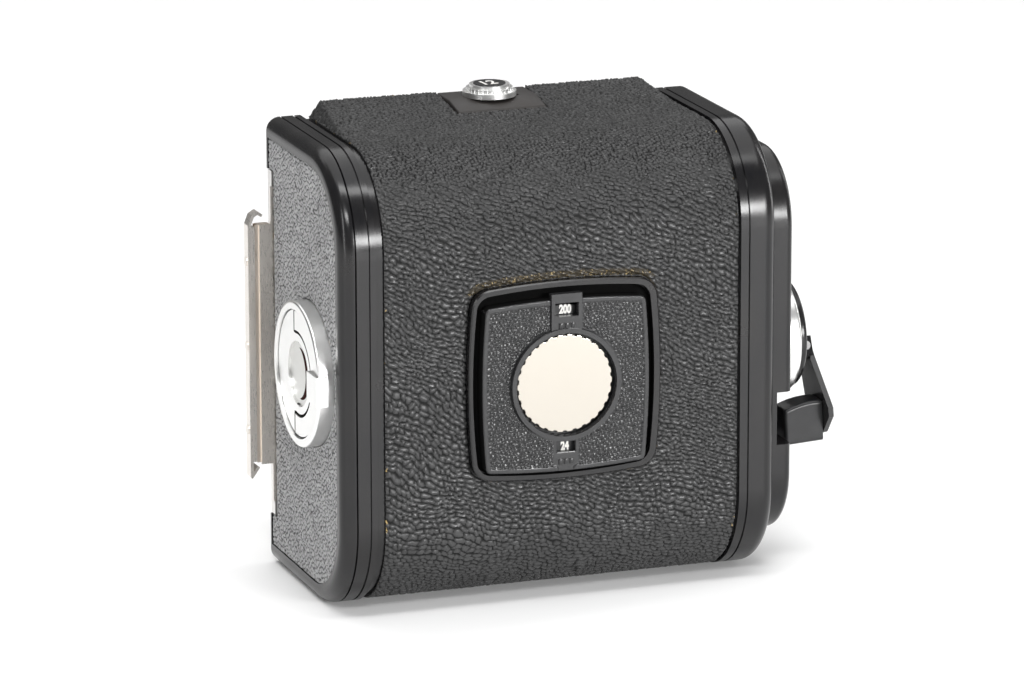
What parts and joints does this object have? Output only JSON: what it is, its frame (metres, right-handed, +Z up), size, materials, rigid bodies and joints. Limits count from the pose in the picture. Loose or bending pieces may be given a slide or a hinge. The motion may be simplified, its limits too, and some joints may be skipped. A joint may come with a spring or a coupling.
{
  "type": "roll film magazine",
  "caption": "Removable roll-film magazine for a medium-format camera: box shell, sliding film insert, dark slide, gate, speed dial and crank.",
  "frame": {"origin": "middle of the base, on the surface it rests on, midway between the two side seams and midway between the front plate and the rear face", "axes": "+X right when seen from behind, +Y towards the camera, +Z up"},
  "size_m": [0.1094, 0.0498, 0.0948],
  "materials": {
    "black_enamel": "semi-gloss black stoving enamel, worn at the edges",
    "black_leatherette": "coarse grained black leatherette",
    "fine_leatherette": "fine grained black leatherette",
    "satin_alloy": "satin aluminium",
    "bright_screw": "nickel-plated slotted screw",
    "black_anodised": "matt black anodised aluminium",
    "black_velvet": "black velvet light seal",
    "brass_plate": "brushed brass plate",
    "clear_window": "clear acrylic window",
    "stainless_sheet": "brushed stainless sheet",
    "satin_chrome": "satin chrome",
    "label_black": "gloss black with white figures",
    "label_white": "white with black figures",
    "flag_red": "red signal enamel",
    "spring_steel": "plain steel",
    "spool_plastic": "black moulded plastic",
    "dark_red_slip": "dark red translucent plastic",
    "pebbled_plastic": "black moulded plastic with a pebbled face",
    "dial_black": "black knurled plastic",
    "polished_cap": "polished warm silver cap",
    "knob_black": "black moulded plastic knob",
    "gear_brass": "machined brass"
  },
  "bodies": {
    "root": {"main_shell": "black_enamel", "shell_leather": "black_leatherette", "button_plate": "black_enamel", "front_plate": "satin_alloy", "front_plate_screws": "bright_screw", "film_gate": "black_anodised", "slide_seal": "black_velvet", "right_plate": "black_enamel", "bridge_plate": "brass_plate", "gear_cover": "black_enamel", "gear_cover_leather": "fine_leatherette", "cover_screws": "bright_screw", "counter_windows": "clear_window", "catch_spring": "spring_steel", "gear_posts": "spring_steel", "dial_frame": "black_enamel", "dial_face_plate": "pebbled_plastic"},
    "dark_slide": {"slide_blade": "stainless_sheet", "slide_channel": "stainless_sheet", "slide_handle": "stainless_sheet", "slide_rivets": "stainless_sheet"},
    "release_catch": {"release_button": "satin_chrome", "button_label": "label_black", "catch_bar": "spring_steel"},
    "film_insert": {"left_cover": "black_enamel", "left_cover_leather": "fine_leatherette", "insert_frame": "satin_alloy", "insert_posts": "spring_steel", "insert_screws": "bright_screw", "key_ring": "satin_chrome", "pressure_springs": "spring_steel"},
    "film_key": {"key_disc": "satin_chrome", "key_window": "dark_red_slip", "handle_pins": "spring_steel", "key_shaft": "spring_steel"},
    "folding_handle": {"key_handle": "satin_chrome"},
    "supply_catch": {"supply_pin": "satin_chrome"},
    "supply": {"supply_spool": "spool_plastic"},
    "takeup": {"takeup_spool": "spool_plastic", "takeup_knob": "black_anodised"},
    "roller_low": {"lower_roller": "satin_chrome"},
    "roller_high": {"upper_roller": "satin_chrome"},
    "film_pressure": {"pressure_plate": "black_anodised"},
    "bolt_high": {"upper_lock_bolt": "spring_steel"},
    "bolt_low": {"lower_lock_bolt": "spring_steel"},
    "film_speed": {"speed_dial": "dial_black", "dial_cap": "polished_cap", "number_ring": "label_black"},
    "crank": {"crank_disc": "satin_chrome", "crank_plate": "black_enamel", "crank_pin": "spring_steel", "crank_gear": "gear_brass"},
    "crank_lever": {"crank_arm": "black_enamel"},
    "crank_grip": {"crank_knob": "knob_black"},
    "idler_high": {"upper_idler": "gear_brass"},
    "drive_takeup": {"takeup_gear": "gear_brass"},
    "idler_low": {"lower_idler": "gear_brass"},
    "drive_camera": {"camera_gear": "gear_brass"},
    "frame_counter": {"counter_disc": "label_white"},
    "film_status": {"status_flag": "flag_red"}
  },
  "joints": [
    {"name": "dark_slide_pull", "type": "slide", "parent": "root", "child": "dark_slide", "axis": [-1, 0, 0], "range_m": [0, 0.07]},
    {"name": "release_push", "type": "slide", "parent": "root", "child": "release_catch", "axis": [1, 0, 0], "range_m": [0, 0.0035], "stiffness_N_per_m": 600, "springref_m": -0.0005},
    {"name": "insert_pull", "type": "slide", "parent": "root", "child": "film_insert", "axis": [-1, 0, 0], "range_m": [0, 0.085]},
    {"name": "key_turn", "type": "hinge", "parent": "film_insert", "child": "film_key", "pos_m": [-0.046, -0.0034, 0.0452], "axis": [-1, 0, 0], "range_deg": [0, 90]},
    {"name": "key_handle_fold", "type": "hinge", "parent": "film_key", "child": "folding_handle", "pos_m": [-0.0461, -0.0023, 0.0452], "axis": [0, 0, -1], "range_deg": [0, 90]},
    {"name": "supply_pin_pull", "type": "slide", "parent": "film_insert", "child": "supply_catch", "axis": [-1, 0, 0], "range_m": [0, 0.0022], "stiffness_N_per_m": 300, "springref_m": -0.0005},
    {"name": "supply_spin", "type": "hinge", "parent": "film_insert", "child": "supply", "pos_m": [0, -0.0067, 0.0165], "axis": [1, 0, 0], "continuous": true},
    {"name": "takeup_spin", "type": "hinge", "parent": "film_insert", "child": "takeup", "pos_m": [0, -0.0067, 0.0735], "axis": [1, 0, 0], "continuous": true},
    {"name": "lower_roller_spin", "type": "hinge", "parent": "film_insert", "child": "roller_low", "pos_m": [0, 0.0122, 0.0095], "axis": [1, 0, 0], "continuous": true},
    {"name": "upper_roller_spin", "type": "hinge", "parent": "film_insert", "child": "roller_high", "pos_m": [0, 0.0122, 0.0805], "axis": [1, 0, 0], "continuous": true},
    {"name": "pressure_retract", "type": "slide", "parent": "film_insert", "child": "film_pressure", "axis": [0, -1, 0], "range_m": [0, 0.0012]},
    {"name": "upper_bolt_retract", "type": "slide", "parent": "film_insert", "child": "bolt_high", "axis": [0, 0, -1], "range_m": [0, 0.0025]},
    {"name": "lower_bolt_retract", "type": "slide", "parent": "film_insert", "child": "bolt_low", "axis": [0, 0, 1], "range_m": [0, 0.0025]},
    {"name": "film_speed_turn", "type": "hinge", "parent": "root", "child": "film_speed", "pos_m": [-0.0001, -0.0262, 0.0445], "axis": [0, -1, 0], "range_deg": [-150, 150]},
    {"name": "crank_turn", "type": "hinge", "parent": "root", "child": "crank", "pos_m": [0.05, -0.0054, 0.0453], "axis": [1, 0, 0], "continuous": true},
    {"name": "crank_fold", "type": "hinge", "parent": "crank", "child": "crank_lever", "pos_m": [0.0565, -0.00682, 0.0421], "axis": [0, -0.9135, 0.4067], "range_deg": [0, 165]},
    {"name": "crank_grip_spin", "type": "hinge", "parent": "crank_lever", "child": "crank_grip", "pos_m": [0.05275, -0.01169, 0.02855], "axis": [0.9986, 0.0213, 0.0478], "continuous": true},
    {"name": "upper_idler_spin", "type": "hinge", "parent": "root", "child": "idler_high", "pos_m": [0.038, 0.00148, 0.05975], "axis": [1, 0, 0], "continuous": true},
    {"name": "takeup_drive_spin", "type": "hinge", "parent": "root", "child": "drive_takeup", "pos_m": [0.038, -0.0067, 0.0735], "axis": [1, 0, 0], "continuous": true},
    {"name": "lower_idler_spin", "type": "hinge", "parent": "root", "child": "idler_low", "pos_m": [0.038, 0.01054, 0.04393], "axis": [1, 0, 0], "continuous": true},
    {"name": "camera_gear_spin", "type": "hinge", "parent": "root", "child": "drive_camera", "pos_m": [0.038, 0.0142, 0.03], "axis": [1, 0, 0], "continuous": true},
    {"name": "counter_spin", "type": "hinge", "parent": "root", "child": "frame_counter", "pos_m": [0.046, 0.009, 0.066], "axis": [1, 0, 0], "continuous": true},
    {"name": "status_flag_swing", "type": "hinge", "parent": "root", "child": "film_status", "pos_m": [0.046, 0.009, 0.051], "axis": [1, 0, 0], "range_deg": [-20, 20]}
  ],
  "couplings": [
    {"joint": "upper_idler_spin", "follows": "crank_turn", "ratio": -1.5},
    {"joint": "takeup_drive_spin", "follows": "crank_turn", "ratio": 1},
    {"joint": "takeup_spin", "follows": "crank_turn", "ratio": 1},
    {"joint": "lower_idler_spin", "follows": "crank_turn", "ratio": -1.5},
    {"joint": "camera_gear_spin", "follows": "crank_turn", "ratio": 1.2},
    {"joint": "counter_spin", "follows": "crank_turn", "ratio": -0.083333},
    {"joint": "lower_bolt_retract", "follows": "upper_bolt_retract", "ratio": 1},
    {"joint": "pressure_retract", "follows": "upper_bolt_retract", "ratio": 0.48},
    {"joint": "key_turn", "follows": "upper_bolt_retract", "rad_per_m": 628.32}
  ]
}
